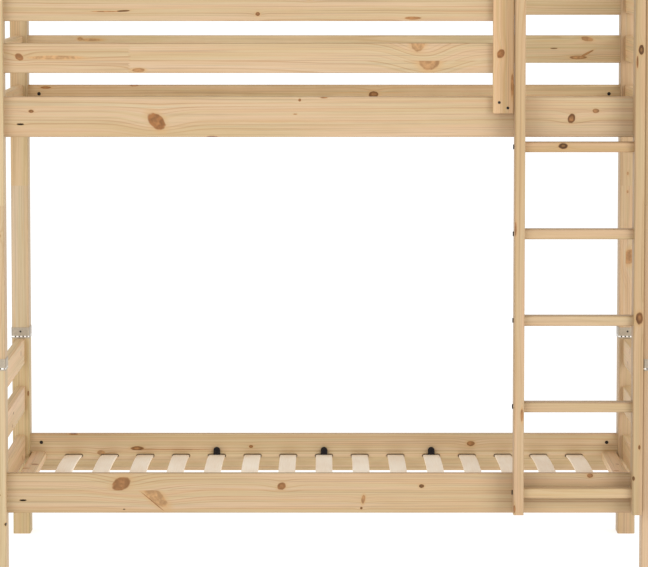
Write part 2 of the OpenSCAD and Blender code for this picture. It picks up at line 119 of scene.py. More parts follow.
class Graph:
    """Builds a node tree with short calls; a value is a number, a tuple or another node's output."""

    def __init__(self, tree):
        self.tree = tree

    def node(self, kind, **settings):
        made = self.tree.nodes.new(kind)
        for name, value in settings.items():
            setattr(made, name, value)
        return made

    def feed(self, socket, value):
        if isinstance(value, bpy.types.NodeSocket):
            self.tree.links.new(value, socket)
        else:
            socket.default_value = value

    def math(self, operation, *values):
        made = self.node("ShaderNodeMath", operation=operation)
        for socket, value in zip(made.inputs, values):
            self.feed(socket, value)
        return made.outputs[0]

    def vector(self, x, y, z):
        made = self.node("ShaderNodeCombineXYZ")
        for socket, value in zip(made.inputs, (x, y, z)):
            self.feed(socket, value)
        return made.outputs[0]

    def noise(self, vector, scale=1.0, detail=2.0, roughness=0.5):
        made = self.node("ShaderNodeTexNoise")
        self.feed(made.inputs["Vector"], vector)
        made.inputs["Scale"].default_value = scale
        made.inputs["Detail"].default_value = detail
        made.inputs["Roughness"].default_value = roughness
        return made.outputs["Fac"]

    def span(self, value, from_low, from_high, to_low=0.0, to_high=1.0, smooth=True):
        made = self.node("ShaderNodeMapRange")
        made.interpolation_type = "SMOOTHSTEP" if smooth else "LINEAR"
        made.clamp = True
        for socket, number in zip(made.inputs, (value, from_low, from_high, to_low, to_high)):
            self.feed(socket, number)
        return made.outputs[0]

    def mix(self, share, first, second, blend="MIX"):
        made = self.node("ShaderNodeMix", data_type="RGBA", blend_type=blend)
        self.feed(made.inputs["Factor"], share)
        self.feed(made.inputs["A"], first)
        self.feed(made.inputs["B"], second)
        return made.outputs["Result"]

    def ramp(self, value, stops):
        made = self.node("ShaderNodeValToRGB")
        ramp = made.color_ramp
        while len(ramp.elements) < len(stops):
            ramp.elements.new(0.5)
        for element, (place, colour) in zip(ramp.elements, stops):
            element.position = place
            element.color = colour if isinstance(colour, tuple) else (colour, colour, colour, 1.0)
        self.feed(made.inputs["Fac"], value)
        return made.outputs["Color"]


def new_group(name, inputs, outputs):
    """A node group with float inputs and outputs; colours end in 'Color'."""
    tree = bpy.data.node_groups.new(name, "ShaderNodeTree")
    for direction, names in (("INPUT", inputs), ("OUTPUT", outputs)):
        for item in names:
            kind = "NodeSocketColor" if item.endswith("Color") else "NodeSocketFloat"
            tree.interface.new_socket(item, in_out=direction, socket_type=kind)
    graph = Graph(tree)
    return graph, graph.node("NodeGroupInput").outputs, graph.node("NodeGroupOutput").inputs


def use_group(graph, tree, **values):
    made = graph.node("ShaderNodeGroup")
    made.node_tree = tree
    for name, value in values.items():
        graph.feed(made.inputs[name], value)
    return made.outputs


def new_material(name):
    material = bpy.data.materials.new(name)
    material.use_nodes = True
    tree = material.node_tree
    shader = tree.nodes["Principled BSDF"]
    return material, Graph(tree), shader


def bump(graph, shader, height, strength, distance):
    made = graph.node("ShaderNodeBump")
    made.inputs["Strength"].default_value = strength
    made.inputs["Distance"].default_value = distance
    graph.feed(made.inputs["Height"], height)
    graph.tree.links.new(made.outputs["Normal"], shader.inputs["Normal"])


def srgb(red, green, blue):
    """A colour given as 0 to 255, in linear light."""
    def linear(value):
        value /= 255.0
        return value / 12.92 if value <= 0.04045 else ((value + 0.055) / 1.055) ** 2.4
    return (linear(red), linear(green), linear(blue), 1.0)


# ---------------------------------------------------------------- wood

PINE = (187, 162, 129)      # a board whose own tone isn't known
FAR = 50.0                  # a knot distance that means no knot
# the late-wood colour darkens rings, cut ends and glue lines, and is also used to paint shade along the rounded arrises
LATE_WOOD_AND_ARRIS_SHADE = (0.74, 0.60, 0.43, 1.0)    # shares of the board's own colour
SAPWOOD = (1.05, 1.075, 1.11, 1.0)
HEARTWOOD = (0.975, 0.915, 0.82, 1.0)
PINK_WOOD = (1.03, 0.985, 0.99, 1.0)
GREEN_WOOD = (0.975, 1.005, 0.97, 1.0)
RESIN = (0.98, 0.83, 0.62, 1.0)
PALE_KNOT = (0.95, 0.76, 0.56, 1.0)
BROWN_KNOT = (0.58, 0.34, 0.18, 1.0)
DARK_KNOT = (0.12, 0.08, 0.03, 1.0)
KNOT_HEART = (0.66, 0.46, 0.26, 1.0)
BARK = (0.20, 0.11, 0.045, 1.0)


def make_knot_group():
    """Adds one knot to a chain: the nearest knot's distance in its own radii, its tone and rim, and how
    far all the knots push the year rings aside. Half Length runs along the knot, turned by Tilt."""
    graph, given, result = new_group(
        "knot", ["Along", "Across", "Depth", "Knot Along", "Knot Across", "Knot Depth", "Tilt", "Half Length",
                 "Half Width", "Reach", "Tone", "Rim", "Distance", "Bend", "Tone So Far", "Rim So Far"],
        ["Distance", "Bend", "Tone", "Rim"])
    along = graph.math("SUBTRACT", given["Along"], given["Knot Along"])
    across = graph.math("SUBTRACT", given["Across"], given["Knot Across"])
    cosine, sine = graph.math("COSINE", given["Tilt"]), graph.math("SINE", given["Tilt"])
    by_length = graph.math("ADD", graph.math("MULTIPLY", along, cosine), graph.math("MULTIPLY", across, sine))
    by_width = graph.math("SUBTRACT", graph.math("MULTIPLY", across, cosine),
                          graph.math("MULTIPLY", along, sine))
    by_length = graph.math("DIVIDE", by_length, given["Half Length"])
    by_width = graph.math("DIVIDE", by_width, given["Half Width"])
    inward = graph.math("DIVIDE", graph.math("SUBTRACT", given["Depth"], given["Knot Depth"]), given["Reach"])
    inward = graph.math("POWER", inward, 2.0)
    plain = graph.math("ADD", graph.math("POWER", by_length, 2.0), graph.math("POWER", by_width, 2.0))
    plain = graph.math("SQRT", graph.math("ADD", plain, inward))
    wobble = graph.noise(graph.vector(by_length, by_width, given["Knot Along"]), 1.3, 3.0)
    distance = graph.math("ADD", plain, graph.math("MULTIPLY", graph.math("SUBTRACT", wobble, 0.5), 0.45))
    nearest = graph.math("LESS_THAN", distance, given["Distance"])
    graph.feed(result["Distance"], graph.math("MINIMUM", distance, given["Distance"]))
    for name in ("Tone", "Rim"):
        change = graph.math("SUBTRACT", given[name], given[name + " So Far"])
        graph.feed(result[name], graph.math("MULTIPLY_ADD", nearest, change, given[name + " So Far"]))
    # the rings run round a knot in a long, narrow eye
    eye_length = graph.math("ADD", given["Half Length"], graph.math("MULTIPLY", given["Half Width"], 1.6))
    eye_width = graph.math("MULTIPLY", given["Half Width"], 1.5)
    eye = graph.math("ADD", graph.math("POWER", graph.math("DIVIDE", along, eye_length), 2.0),
                     graph.math("POWER", graph.math("DIVIDE", across, eye_width), 2.0))
    push = graph.math("EXPONENT", graph.math("MULTIPLY", graph.math("ADD", eye, inward), -0.5))
    push = graph.math("MULTIPLY", push, graph.math("MULTIPLY", given["Half Width"], 0.9))
    graph.feed(result["Bend"], graph.math("ADD", push, given["Bend"]))
    return graph.tree


def make_pine_group():
    """Planed pine. Along, Across and Depth are metres from the board's middle."""
    graph, given, result = new_group(
        "pine", ["Along", "Across", "Depth", "Seed", "Pith Across", "Pith Depth", "Ring Gap", "Contrast",
                 "Distance", "Bend", "Tone", "Rim", "Board Color"],
        ["Color", "Roughness", "Height"])
    along, across, depth, seed = given["Along"], given["Across"], given["Depth"], given["Seed"]
    sway_across = graph.noise(graph.vector(along, seed, 0.0), 0.6, 1.0)
    sway_depth = graph.noise(graph.vector(along, seed, 40.0), 0.9, 1.0)
    from_pith_across = graph.math("ADD", graph.math("SUBTRACT", across, given["Pith Across"]),
                                  graph.math("MULTIPLY", graph.math("SUBTRACT", sway_across, 0.5), 0.022))
    from_pith_depth = graph.math("ADD", graph.math("SUBTRACT", depth, given["Pith Depth"]),
                                 graph.math("MULTIPLY", graph.math("SUBTRACT", sway_depth, 0.5), 0.024))
    radius = graph.math("SQRT", graph.math("ADD", graph.math("POWER", from_pith_across, 2.0),
                                           graph.math("POWER", from_pith_depth, 2.0)))
    ripple = graph.noise(graph.vector(graph.math("MULTIPLY", along, 4.0),
                                      graph.math("MULTIPLY", across, 22.0),
                                      graph.math("ADD", graph.math("MULTIPLY", depth, 22.0), seed)), 1.0, 3.0)
    radius = graph.math("ADD", radius, graph.math("MULTIPLY", graph.math("SUBTRACT", ripple, 0.5), 0.0036))
    radius = graph.math("ADD", radius, given["Bend"])
    years = graph.math("DIVIDE", radius, given["Ring Gap"])
    uneven = graph.noise(graph.vector(graph.math("MULTIPLY", radius, 55.0), seed, 7.0), 1.0, 1.0)
    years = graph.math("ADD", years, graph.math("MULTIPLY", uneven, 1.8))
    ring = graph.ramp(graph.math("FRACT", years),
                      [(0.0, 0.2), (0.08, 0.0), (0.6, 0.08), (0.86, 0.85), (0.94, 1.0), (1.0, 0.2)])
    # some years are dark, some hardly show, and each fades along the board
    year_tone = graph.noise(graph.vector(graph.math("MULTIPLY", along, 0.8),
                                         graph.math("MULTIPLY", radius, 120.0), seed), 1.0, 2.0)
    year_tone = graph.span(year_tone, 0.42, 0.62, 0.1, 1.0)
    ring = graph.math("MULTIPLY", ring, year_tone)

    fibre = graph.noise(graph.vector(graph.math("MULTIPLY", along, 14.0),
                                     graph.math("MULTIPLY", across, 700.0),
                                     graph.math("ADD", graph.math("MULTIPLY", depth, 700.0), seed)), 1.0, 2.0)
    streak = graph.noise(graph.vector(graph.math("MULTIPLY", along, 1.6),
                                      graph.math("MULTIPLY", across, 290.0),
                                      graph.math("ADD", graph.math("MULTIPLY", depth, 290.0), seed)), 1.0, 2.0)
    band = graph.noise(graph.vector(graph.math("MULTIPLY", along, 0.7),
                                    graph.math("MULTIPLY", radius, 75.0), seed), 1.0, 5.0, 0.75)
    hue = graph.noise(graph.vector(graph.math("MULTIPLY", along, 1.4),
                                   graph.math("MULTIPLY", radius, 80.0), seed), 1.0, 2.0)
    patch = graph.noise(graph.vector(graph.math("MULTIPLY", along, 3.0),
                                     graph.math("MULTIPLY", across, 12.0),
                                     graph.math("ADD", graph.math("MULTIPLY", depth, 12.0), seed)), 1.0, 2.0)
    resin = graph.noise(graph.vector(graph.math("MULTIPLY", along, 2.4),
                                     graph.math("MULTIPLY", across, 120.0),
                                     graph.math("ADD", graph.math("MULTIPLY", depth, 120.0), seed)), 1.0, 1.0)
    tint = graph.mix(graph.span(band, 0.36, 0.64, smooth=False), HEARTWOOD, SAPWOOD)
    tint = graph.mix(1.0, tint, graph.mix(graph.span(hue, 0.38, 0.62), GREEN_WOOD, PINK_WOOD), "MULTIPLY")
    tint = graph.mix(graph.span(patch, 0.56, 0.74, 0.0, 0.55), tint, HEARTWOOD)
    tint = graph.mix(graph.span(resin, 0.68, 0.8, 0.0, 0.7), tint, RESIN)
    tint = graph.mix(graph.math("MULTIPLY", ring, given["Contrast"]), tint, LATE_WOOD_AND_ARRIS_SHADE)
    shade = graph.math("MULTIPLY", graph.span(fibre, 0.25, 0.75, 0.95, 1.04, smooth=False),
                       graph.span(streak, 0.32, 0.48, 0.82, 1.0))
    tint = graph.mix(1.0, tint, graph.vector(shade, shade, shade), "MULTIPLY")

    # knots: a warm halo, a core with its own rings, and a dark bark rim
    distance, tone = given["Distance"], given["Tone"]
    halo = graph.math("MULTIPLY", graph.span(distance, 1.9, 0.95), graph.span(patch, 0.35, 0.6, 0.25, 0.75))
    tint = graph.mix(halo, tint, RESIN)
    core_rings = graph.math("PINGPONG", graph.math("MULTIPLY", distance, 3.5), 1.0)
    core = graph.mix(graph.span(tone, 0.0, 0.5, smooth=False), PALE_KNOT, BROWN_KNOT)
    core = graph.mix(graph.span(tone, 0.5, 1.0, smooth=False), core, DARK_KNOT)
    heart = graph.math("MULTIPLY", graph.span(distance, 0.55, 0.2, 0.0, 0.55), given["Rim"])
    core = graph.mix(heart, core, KNOT_HEART)
    mottle = graph.noise(graph.vector(graph.math("MULTIPLY", along, 60.0), graph.math("MULTIPLY", across, 60.0),
                                      seed), 1.0, 2.0)
    core_shade = graph.math("ADD", 0.88, graph.math("MULTIPLY", core_rings, 0.17))
    core_shade = graph.math("MULTIPLY", core_shade, graph.span(mottle, 0.34, 0.66, 0.78, 1.14))
    core = graph.mix(1.0, core, graph.vector(core_shade, core_shade, core_shade), "MULTIPLY")
    tint = graph.mix(graph.span(distance, 1.12, 0.86), tint, core)
    rim_width = graph.math("MULTIPLY_ADD", given["Rim"], 0.26, 0.12)
    rim = graph.math("ABSOLUTE", graph.math("SUBTRACT", distance, 0.84))
    rim = graph.span(rim, rim_width, graph.math("MULTIPLY", rim_width, 0.3))
    rim = graph.math("MULTIPLY", rim, graph.span(ripple, 0.38, 0.62, 0.35, 1.0))
    rim = graph.math("MULTIPLY", rim, given["Rim"])
    tint = graph.mix(rim, tint, BARK)
    graph.feed(result["Color"], graph.mix(1.0, given["Board Color"], tint, "MULTIPLY"))

    rough = graph.math("ADD", graph.math("MULTIPLY", fibre, 0.16), 0.46)
    rough = graph.math("SUBTRACT", rough, graph.math("MULTIPLY", graph.span(distance, 1.1, 0.9), 0.1))
    graph.feed(result["Roughness"], rough)
    height = graph.math("SUBTRACT", graph.math("MULTIPLY", fibre, 0.5), graph.math("MULTIPLY", ring, 0.35))
    graph.feed(result["Height"], graph.math("SUBTRACT", height, graph.math("MULTIPLY", rim, 0.6)))
    return graph.tree


AXES = {"X": 0, "Y": 1, "Z": 2}


class Knot:
    """A knot at shares of a board's length and width. Its half length and half width are in mm, its
    tilt in degrees from the board's length; tone runs from 0, pale, to 1, nearly black."""

    def __init__(self, along, across, long, wide, tilt=0, tone=0.5, rim=0.5, side=False):
        self.along, self.across = along, across
        self.long, self.wide, self.tilt = long * MM, wide * MM, math.radians(tilt)
        self.tone, self.rim, self.side = tone, rim, side


def pine_material(node, axes, knots, seed, colour, contrast, ring_gap, glue_line=None, finger_joint=None):
    """Pine for one board; axes names its long, wide and thin directions."""
    low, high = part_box(node)
    middle, size = (low + high) / 2, high - low
    material, graph, shader = new_material("pine_" + node)
    place = graph.node("ShaderNodeTexCoord").outputs
    split = graph.node("ShaderNodeSeparateXYZ")
    graph.feed(split.inputs[0], place["Object"])
    long_axis, wide_axis, thin_axis = (AXES[letter] for letter in axes)
    along, across, depth = (
        graph.math("SUBTRACT", split.outputs[axis], middle[axis]) for axis in (long_axis, wide_axis, thin_axis))

    spot = random.Random(seed)
    seed_value = spot.uniform(0.0, 90.0)
    pith_across = spot.choice((-1, 1)) * spot.uniform(0.35, 0.8) * size[wide_axis]
    pith_depth = spot.choice((-1, 1)) * spot.uniform(0.03, 0.06)
    line = None
    if glue_line is not None:
        line = (glue_line - 0.5) * size[wide_axis]
        upper_strip = graph.math("GREATER_THAN", across, line)
        seed_value = graph.math("ADD", graph.math("MULTIPLY", upper_strip, 23.7), seed_value)
    if finger_joint is not None:
        teeth = graph.math("MULTIPLY", graph.math("PINGPONG", across, 5 * MM), 2.2)
        start = (finger_joint - 0.5) * size[long_axis]
        beyond = graph.math("GREATER_THAN", graph.math("SUBTRACT", along, teeth), start)
        seed_value = graph.math("ADD", graph.math("MULTIPLY", beyond, 31.3), seed_value)

    chain = {"Distance": FAR, "Bend": 0.0, "Tone": 0.5, "Rim": 0.0}
    for knot in knots:
        cross_axis, deep_axis = (thin_axis, wide_axis) if knot.side else (wide_axis, thin_axis)
        thick = size[deep_axis] > THICK
        before = chain
        chain = use_group(graph, KNOT_GROUP, **{
            "Along": along, "Across": depth if knot.side else across, "Depth": across if knot.side else depth,
            "Knot Along": (knot.along - 0.5) * size[long_axis],
            "Knot Across": (knot.across - 0.5) * size[cross_axis],
            "Knot Depth": -0.5 * size[deep_axis] if thick else 0.0,
            "Reach": KNOT_REACH if thick else 1.0,
            "Tilt": knot.tilt, "Half Length": knot.long, "Half Width": knot.wide, "Tone": knot.tone,
            "Rim": knot.rim, "Distance": before["Distance"], "Bend": before["Bend"],
            "Tone So Far": before["Tone"], "Rim So Far": before["Rim"]})
        if line is not None:
            # a knot ends where its strip was sawn
            same_strip = upper_strip if knot.across > glue_line else graph.math("SUBTRACT", 1.0, upper_strip)
            gap = graph.math("SUBTRACT", before["Distance"], chain["Distance"])
            kept = graph.math("SUBTRACT", before["Distance"], graph.math("MULTIPLY", gap, same_strip))
            chain = {"Distance": kept, "Bend": chain["Bend"], "Tone": chain["Tone"], "Rim": chain["Rim"]}

    wood = use_group(graph, PINE_GROUP, **{
        "Along": along, "Across": across, "Depth": depth, "Seed": seed_value,
        "Pith Across": pith_across, "Pith Depth": pith_depth, "Ring Gap": ring_gap * MM,
        "Contrast": contrast, "Distance": chain["Distance"], "Bend": chain["Bend"], "Tone": chain["Tone"],
        "Rim": chain["Rim"], "Board Color": srgb(*colour)})
    tint = wood["Color"]
    if line is not None:
        near = graph.math("ABSOLUTE", graph.math("SUBTRACT", across, line))
        darker = graph.mix(graph.span(near, 1.2 * MM, 0.3 * MM, 0.0, 0.4), WHITE, LATE_WOOD_AND_ARRIS_SHADE)
        tint = graph.mix(1.0, tint, darker, "MULTIPLY")
    # cut ends are darker; along the long arrises the colour is darkened a little as painted shade, standing in for the
    # shade on the rounded corners
    facing = graph.node("ShaderNodeSeparateXYZ")
    graph.feed(facing.inputs[0], place["Normal"])
    end_grain = graph.span(graph.math("ABSOLUTE", facing.outputs[long_axis]), 0.75, 0.95, 0.0, 0.55)
    tint = graph.mix(1.0, tint, graph.mix(end_grain, WHITE, LATE_WOOD_AND_ARRIS_SHADE), "MULTIPLY")
    beside = graph.span(graph.math("ABSOLUTE", across), size[wide_axis] / 2 - 3 * MM, size[wide_axis] / 2)
    behind = graph.span(graph.math("ABSOLUTE", depth), size[thin_axis] / 2 - 3 * MM, size[thin_axis] / 2)
    # painted shade: darker where a wide face and a thin face meet, along each arris
    arris_shade = graph.math("MULTIPLY", graph.math("MULTIPLY", beside, behind), 0.45)
    tint = graph.mix(1.0, tint, graph.mix(arris_shade, WHITE, LATE_WOOD_AND_ARRIS_SHADE), "MULTIPLY")
    graph.feed(shader.inputs["Base Color"], tint)
    graph.feed(shader.inputs["Roughness"], wood["Roughness"])
    shader.inputs["Specular IOR Level"].default_value = 0.28
    bump(graph, shader, wood["Height"], 0.35, 0.5 * MM)
    return material


THICK = 50 * MM
KNOT_REACH = 34 * MM


def scattered_knots(seed, count, side_too):
    """Knots for a board that has no known ones; posts show some on their narrow faces."""
    spot = random.Random(seed)
    knots = []
    for index in range(count):
        size = spot.uniform(5.0, 12.0)
        knots.append(Knot(spot.uniform(0.05, 0.95), spot.uniform(0.12, 0.88), size * spot.uniform(1.1, 1.6), size,
                          tilt=spot.uniform(-40, 40), tone=spot.uniform(0.1, 0.6), rim=spot.uniform(0.2, 0.7),
                          side=side_too and index % 2 == 1))
    return knots


KNOWN_KNOTS = {
    "upper_rail_front": [
        # the first entry is no knot but painted shade: a near-black mark inside the routed slot near the left end
        Knot(0.025, 0.317, 11, 3, tone=1.0, rim=0.0), Knot(0.238, 0.39, 32, 20, tilt=-42, tone=0.5, rim=0.3), Knot(0.042, 0.64, 8, 5, tone=0.62),
        Knot(0.5, 0.975, 12, 2, tone=0.45, rim=0.0), Knot(0.462, 0.92, 4.5, 4.5, tone=0.5, rim=0.2),
        Knot(0.455, 0.57, 6, 1.5, tone=0.5, rim=0.0), Knot(0.325, 0.012, 18, 2, tone=0.6, rim=0.0), Knot(0.887, 0.46, 14, 11, tilt=70, tone=0.55, rim=0.9),
        Knot(0.925, 0.65, 10, 7, tone=0.35, rim=0.5)],
    "upper_rail_rear": [
        Knot(0.03, 0.93, 17, 4, tone=0.5, rim=0.6), Knot(0.179, 0.985, 14, 3, tone=0.3),
        Knot(0.584, 0.745, 16, 11, tone=0.62, rim=0.6)],
    "guard_board_front_lower": [
        Knot(0.03, 0.54, 14, 10, tilt=-30, tone=0.45, rim=0.4), Knot(0.102, 0.52, 85, 6, tone=0.0, rim=0.0),
        Knot(0.264, 0.1, 20, 6, tone=0.25, rim=0.3), Knot(0.812, 0.97, 21, 24, tone=0.06, rim=0.25),
        Knot(0.834, 0.39, 31, 28, tilt=-8, tone=0.16, rim=0.3)],
    "guard_board_front_upper": [
        Knot(0.234, 0.34, 22, 2.6, tilt=3, tone=0.8, rim=0.1), Knot(0.2, 0.32, 45, 2, tone=0.3, rim=0.0),
        Knot(0.498, 0.24, 7, 6, tone=0.5), Knot(0.802, 0.1, 25, 5, tone=0.4, rim=0.2), Knot(0.6, 0.8, 12, 8, tone=0.4)],
    "guard_board_rear_lower": [
        Knot(0.944, 0.87, 20, 8, tilt=-10, tone=0.25, rim=0.3), Knot(0.929, 0.2, 28, 6, tone=0.3, rim=0.5),
        Knot(0.943, 0.33, 26, 3.5, tilt=28, tone=0.4, rim=0.4), Knot(0.888, 0.53, 12, 2, tone=0.8, rim=0.1),
        Knot(0.108, 0.84, 36, 4.5, tone=0.1, rim=0.1), Knot(0.0885, 0.87, 9, 6, tone=0.2, rim=0.2)],
    "guard_upright": [
        Knot(0.49, 0.37, 15, 11, tilt=25, tone=0.46, rim=0.5), Knot(0.233, 0.91, 36, 4, tone=0.25, rim=0.2)],
    "ladder_rung_5": [Knot(0.35, 0.64, 14, 8.5, tone=0.96, rim=1.0)],
    "ladder_stile_left": [
        Knot(0.55, 0.09, 22, 3, tone=0.35, rim=0.2), Knot(0.193, 0.78, 20, 4, tone=0.3, rim=0.2),
        Knot(0.012, 0.08, 12, 4, tone=0.4, rim=0.2)],
    "ladder_stile_right": [
        Knot(0.89, 0.57, 14, 8, tone=0.9, rim=1.0), Knot(0.867, 0.2, 18, 3, tone=0.6, rim=0.2),
        Knot(0.379, 0.58, 18, 10, tone=0.62, rim=1.0), Knot(0.131, 0.66, 7, 3.5, tone=0.75, rim=0.3),
        Knot(0.071, 0.12, 7, 4, tone=0.8, rim=0.3)],
    "extension_post_rear_right": [
        Knot(0.52, 0.6, 26, 18, tilt=15, tone=0.25, rim=0.05), Knot(0.96, 0.45, 5, 3, tone=0.15, rim=0.2)],
    "upper_post_rear_right": [Knot(0.06, 0.45, 6, 3, tone=0.15, rim=0.2), Knot(0.5, 0.4, 14, 9, side=True)],
    "upper_post_rear_left": [Knot(0.4, 0.5, 16, 10, side=True)],
    "extension_post_rear_left": [Knot(0.6, 0.45, 12, 9, side=True)],
    "lower_post_rear_left": [Knot(0.7, 0.93, 9, 3, tone=0.6), Knot(0.35, 0.5, 13, 9, side=True)],
    "lower_post_rear_right": [Knot(0.5, 0.5, 15, 9, side=True)],
    "lower_post_front_right": [Knot(0.402, 0.46, 4, 4, tone=0.8), Knot(0.494, 0.46, 14, 5, tone=0.15)],
    "extension_post_front_right": [Knot(0.5, 0.5, 12, 8, side=True)],
    "upper_post_front_right": [Knot(0.3, 0.6, 14, 8, side=True)],
    "lower_end_board_left_top": [Knot(0.82, 0.6, 14, 9, tone=0.7)],
    "lower_end_board_left_middle": [Knot(0.45, 0.62, 16, 4, tone=0.8), Knot(0.4, 0.2, 20, 5, tone=0.3)],
    "lower_rail_front": [
        # the first entry is no knot but painted shade: a near-black mark inside the routed slot near the left end
        Knot(0.025, 0.317, 11, 3, tone=1.0, rim=0.0), Knot(0.18, 0.73, 30, 20, tilt=25, tone=0.42, rim=0.3), Knot(0.2334, 0.43, 48, 18, tilt=-42, tone=0.02, rim=0.25),
        Knot(0.2294, 0.288, 47, 1.4, tilt=-40, tone=0.5, rim=0.0), Knot(0.236, 0.37, 24, 1.2, tilt=-50, tone=0.45, rim=0.0),
        Knot(0.433, 0.675, 14, 11, tilt=25, tone=0.45, rim=0.6), Knot(0.654, 0.677, 8, 6, tone=0.85, rim=0.4),
        Knot(0.562, 0.345, 14, 6, tilt=80, tone=0.25, rim=0.2), Knot(0.559, 0.12, 4, 4, tone=0.7),
        Knot(0.9195, 0.94, 9, 7, tone=0.4, rim=0.4),
        Knot(0.1845, 0.09, 4, 1.8, tone=1.0, rim=0.0)],
    "lower_rail_rear": [
        Knot(0.182, 0.6, 21, 6.5, tone=0.5, rim=1.0), Knot(0.245, 0.565, 128, 1.3, tone=0.4, rim=0.0),
        Knot(0.12, 0.483, 13, 8, tone=0.22, rim=0.3), Knot(0.0735, 0.985, 16, 2.5, tone=0.45, rim=0.2),
        Knot(0.3756, 0.65, 7, 5, tone=0.5), Knot(0.75, 0.73, 13, 9, tone=0.45, rim=0.5)],
    "lower_post_front_left": [
        Knot(0.265, 0.97, 5, 4, tone=1.0), Knot(0.4, 0.62, 4, 4, tone=0.95), Knot(0.8, 0.3, 9, 7, side=True)],
}
GLUE_LINES = {"guard_board_front_lower": 0.41, "lower_rail_front": 0.565, "lower_rail_rear": 0.55, "upper_post_rear_right": 0.36,
              "extension_post_rear_right": 0.36}
FINGER_JOINTS = {"guard_board_front_lower": 0.2426}
# Colours of single boards, 0 to 255: partly each board's own tone and partly painted light; the rear rails and guard
# boards, the cross bars and the end boards, most of all the right end boards, are painted lighter to stand in for light
# that falls on their faces
BOARD_TONES_AND_PAINTED_LIGHT = {
    "guard_board_rear_lower": (204, 182, 146), "guard_board_rear_upper": (202, 179, 143),
    "upper_rail_rear": (202, 176, 138), "lower_rail_rear": (196, 173, 139), "guard_upright": (201, 170, 130),
    "lower_cross_bar_left": (216, 188, 154), "lower_cross_bar_right": (216, 188, 154),
    "lower_end_board_left_top": (210, 182, 142), "lower_end_board_left_middle": (210, 182, 144),
    "lower_end_board_left_bottom": (210, 182, 144), "extension_post_rear_left": (189, 169, 138),
    "lower_post_rear_left": (190, 168, 128), "lower_end_board_right_top": (206, 178, 138),
    "lower_end_board_right_middle": (206, 178, 138), "lower_end_board_right_bottom": (206, 178, 138),
    "upper_end_board_right_top": (218, 188, 144), "upper_end_board_right_middle": (218, 188, 144),
    "upper_end_board_right_bottom": (218, 188, 144), "upper_end_board_left_top": (212, 184, 144),
    "upper_end_board_left_middle": (212, 184, 144), "upper_end_board_left_bottom": (212, 184, 144),
    "upper_post_rear_left": (193, 169, 131), "ladder_stile_left": (184, 157, 124),
    "ladder_stile_right": (176, 150, 115), "ladder_rung_5": (180, 150, 113), "ladder_rung_4": (186, 160, 126),
    "ladder_rung_1": (190, 166, 132), "lower_post_front_left": (192, 169, 135),
    "upper_post_front_left": (192, 170, 136)}


def board_axes(node):
    """Long, wide and thin directions of a board; a post, stile or rung shows its narrow face to the front."""
    if "post" in node or "stile" in node:
        return "ZXY"
    if "rung" in node:
        return "XZY"
    low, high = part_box(node)
    size = high - low
    return "".join(sorted("XYZ", key=lambda letter: -size[AXES[letter]]))


def paint_pine_boards():
    for seed, node in enumerate(sorted(NODES)):
        if SLOTS[node] != "pine":
            continue
        spot = random.Random(seed + 500)
        knots = KNOWN_KNOTS.get(node)
        if knots is None:
            count = 0 if "rung" in node else 4 if "guard" in node else 2
            knots = scattered_knots(seed, count, "post" in node)
        shift = spot.uniform(-4.0, 4.0)
        colour = BOARD_TONES_AND_PAINTED_LIGHT.get(node, tuple(level + shift for level in PINE))
        strong = "rail" in node or "guard_board" in node
        contrast = spot.uniform(0.7, 0.95) if strong else spot.uniform(0.25, 0.45)
        material = pine_material(node, board_axes(node), knots, seed, colour, contrast, 7.0 if strong else 4.2,
                                 glue_line=GLUE_LINES.get(node), finger_joint=FINGER_JOINTS.get(node))
        dress(NODES[node], material)


def dress(piece, material):
    piece.data.materials.clear()
    piece.data.materials.append(material)


def slat_paint():
    """Pale planed birch; each slat has its own tone."""
    material, graph, shader = new_material("slat_birch")
    place = graph.node("ShaderNodeTexCoord").outputs["Object"]
    split = graph.node("ShaderNodeSeparateXYZ")
    graph.feed(split.inputs[0], place)
    across, along = split.outputs["X"], split.outputs["Y"]
    fibre = graph.noise(graph.vector(graph.math("MULTIPLY", across, 420.0), graph.math("MULTIPLY", along, 6.0),
                                     split.outputs["Z"]), 1.0, 3.0)
    cloud = graph.noise(graph.vector(graph.math("MULTIPLY", across, 9.0), graph.math("MULTIPLY", along, 2.0),
                                     split.outputs["Z"]), 1.0, 2.0)
    colour = graph.mix(graph.span(cloud, 0.3, 0.7), srgb(238, 220, 196), srgb(249, 237, 218))
    colour = graph.mix(graph.span(fibre, 0.45, 0.75, 0.0, 0.14), colour, srgb(216, 190, 152))
    fleck = graph.noise(graph.vector(graph.math("MULTIPLY", across, 60.0), graph.math("MULTIPLY", along, 260.0),
                                     3.0), 1.0, 1.0)
    colour = graph.mix(graph.span(fleck, 0.77, 0.82, 0.0, 0.6), colour, srgb(120, 84, 60))
    graph.feed(shader.inputs["Base Color"], colour)
    graph.feed(shader.inputs["Roughness"], graph.span(fibre, 0.3, 0.7, 0.45, 0.6))
    shader.inputs["Specular IOR Level"].default_value = 0.3
    bump(graph, shader, fibre, 0.25, 0.3 * MM)
    return material


# ---------------------------------------------------------------- other materials

def floor_paint():
    material, graph, shader = new_material("floor_paint")
    place = graph.node("ShaderNodeTexCoord").outputs["Object"]
    grain = graph.noise(place, 3.0, 3.0)
    graph.feed(shader.inputs["Base Color"], graph.mix(grain, (0.5, 0.5, 0.5, 1.0), (0.52, 0.52, 0.52, 1.0)))
    shader.inputs["Roughness"].default_value = 0.9
    shader.inputs["Specular IOR Level"].default_value = 0.1
    shader.inputs["Emission Color"].default_value = WHITE
    shader.inputs["Emission Strength"].default_value = 0.68
    return material


